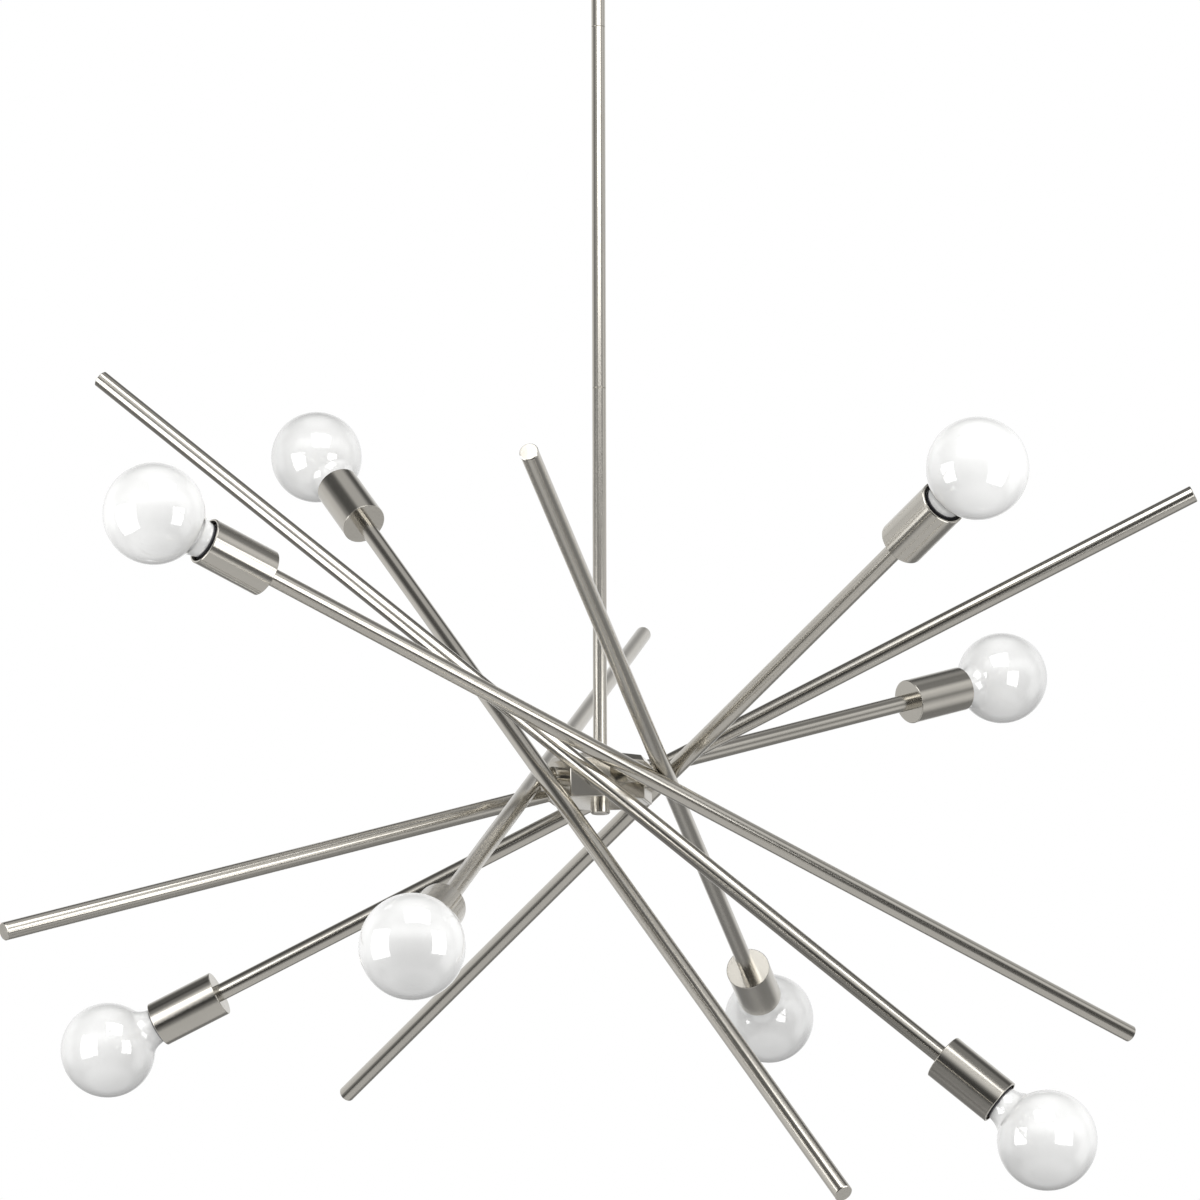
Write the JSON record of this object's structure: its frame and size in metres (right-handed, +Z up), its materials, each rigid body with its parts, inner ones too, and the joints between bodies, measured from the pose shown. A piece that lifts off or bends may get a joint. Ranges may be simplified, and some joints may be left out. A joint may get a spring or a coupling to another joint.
{
  "type": "sputnik chandelier",
  "caption": "Ceiling chandelier with straight satin nickel rods that turn on pivots round an octagonal hub, each with a cup and a globe lamp on one end, hung on a stem from a swivel canopy.",
  "frame": {"origin": "on the ceiling, midway between the two outlet box screw slots of the crossbar", "axes": "+Z up; +X to the right of the picture and along the crossbar; +Y away from the picture's camera"},
  "size_m": [0.9546, 1.0112, 1.2299],
  "materials": {
    "satin_nickel": "fine brushed satin nickel plating",
    "opal_glass": "glossy opal white glass",
    "black_socket": "matte black moulded phenolic",
    "lamp_base_metal": "plain rolled lamp base",
    "plated_steel": "zinc plated steel",
    "green_screw": "green dyed ground screw",
    "plain_brass": "plain threaded brass"
  },
  "bodies": {
    "ceiling_mount": {"ceiling_crossbar": "plated_steel", "canopy_studs": "plated_steel", "ground_screw": "green_screw", "canopy": "satin_nickel", "canopy_nuts": "satin_nickel", "swivel_housing": "satin_nickel"},
    "swivel": {"swivel_clevis": "satin_nickel", "swivel_pin": "satin_nickel"},
    "stem_and_hub": {"swivel_knuckle": "satin_nickel", "stem_upper": "satin_nickel", "stem_middle": "satin_nickel", "stem_lower": "satin_nickel", "stem_couplers": "plain_brass", "hub_nipple": "plain_brass", "hub_nuts": "plain_brass", "hub_shell": "satin_nickel", "hub_base_plate": "satin_nickel", "finial": "satin_nickel", "arm_pivots": "satin_nickel", "pivot_nuts": "plain_brass"},
    "arm_1": {"arm_1_rod": "satin_nickel", "arm_1_cup": "satin_nickel", "arm_1_socket": "black_socket", "arm_1_bulb_base": "lamp_base_metal", "arm_1_bulb_glass": "opal_glass"},
    "arm_2": {"arm_2_rod": "satin_nickel", "arm_2_cup": "satin_nickel", "arm_2_socket": "black_socket", "arm_2_bulb_base": "lamp_base_metal", "arm_2_bulb_glass": "opal_glass"},
    "arm_3": {"arm_3_rod": "satin_nickel", "arm_3_cup": "satin_nickel", "arm_3_socket": "black_socket", "arm_3_bulb_base": "lamp_base_metal", "arm_3_bulb_glass": "opal_glass"},
    "arm_4": {"arm_4_rod": "satin_nickel", "arm_4_cup": "satin_nickel", "arm_4_socket": "black_socket", "arm_4_bulb_base": "lamp_base_metal", "arm_4_bulb_glass": "opal_glass"},
    "arm_5": {"arm_5_rod": "satin_nickel", "arm_5_cup": "satin_nickel", "arm_5_socket": "black_socket", "arm_5_bulb_base": "lamp_base_metal", "arm_5_bulb_glass": "opal_glass"},
    "arm_6": {"arm_6_rod": "satin_nickel", "arm_6_cup": "satin_nickel", "arm_6_socket": "black_socket", "arm_6_bulb_base": "lamp_base_metal", "arm_6_bulb_glass": "opal_glass"},
    "arm_7": {"arm_7_rod": "satin_nickel", "arm_7_cup": "satin_nickel", "arm_7_socket": "black_socket", "arm_7_bulb_base": "lamp_base_metal", "arm_7_bulb_glass": "opal_glass"},
    "arm_8": {"arm_8_rod": "satin_nickel", "arm_8_cup": "satin_nickel", "arm_8_socket": "black_socket", "arm_8_bulb_base": "lamp_base_metal", "arm_8_bulb_glass": "opal_glass"}
  },
  "joints": [
    {"name": "swivel_turn", "type": "hinge", "parent": "ceiling_mount", "child": "swivel", "pos_m": [0, 0, -0.0303], "axis": [0, 0, 1], "range_deg": [-170, 170]},
    {"name": "swivel_tilt", "type": "hinge", "parent": "swivel", "child": "stem_and_hub", "pos_m": [0, 0, -0.0468], "axis": [0, 1, 0], "range_deg": [-30, 30]},
    {"name": "arm_1_turn", "type": "hinge", "parent": "stem_and_hub", "child": "arm_1", "pos_m": [0.04675, 0.03083, -0.8588], "axis": [-0.8348, -0.5505, 0], "range_deg": [0, 35]},
    {"name": "arm_2_turn", "type": "hinge", "parent": "stem_and_hub", "child": "arm_2", "pos_m": [0.01136, 0.05484, -0.8588], "axis": [-0.2028, -0.9792, 0], "range_deg": [0, 35]},
    {"name": "arm_3_turn", "type": "hinge", "parent": "stem_and_hub", "child": "arm_3", "pos_m": [-0.03066, 0.04686, -0.8588], "axis": [0.5476, -0.8368, 0], "range_deg": [0, 35]},
    {"name": "arm_4_turn", "type": "hinge", "parent": "stem_and_hub", "child": "arm_4", "pos_m": [-0.05493, 0.01088, -0.8588], "axis": [0.981, -0.1942, 0], "range_deg": [0, 35]},
    {"name": "arm_5_turn", "type": "hinge", "parent": "stem_and_hub", "child": "arm_5", "pos_m": [-0.04587, -0.03212, -0.8588], "axis": [0.8192, 0.5736, 0], "range_deg": [-20, 25]},
    {"name": "arm_6_turn", "type": "hinge", "parent": "stem_and_hub", "child": "arm_6", "pos_m": [-0.01049, -0.05501, -0.8588], "axis": [0.1874, 0.9823, 0], "range_deg": [-15, 25]},
    {"name": "arm_7_turn", "type": "hinge", "parent": "stem_and_hub", "child": "arm_7", "pos_m": [0.03075, -0.0468, -0.8588], "axis": [-0.549, 0.8358, 0], "range_deg": [0, 35]},
    {"name": "arm_8_turn", "type": "hinge", "parent": "stem_and_hub", "child": "arm_8", "pos_m": [0.05473, -0.01183, -0.8588], "axis": [-0.9774, 0.2113, 0], "range_deg": [0, 35]}
  ]
}
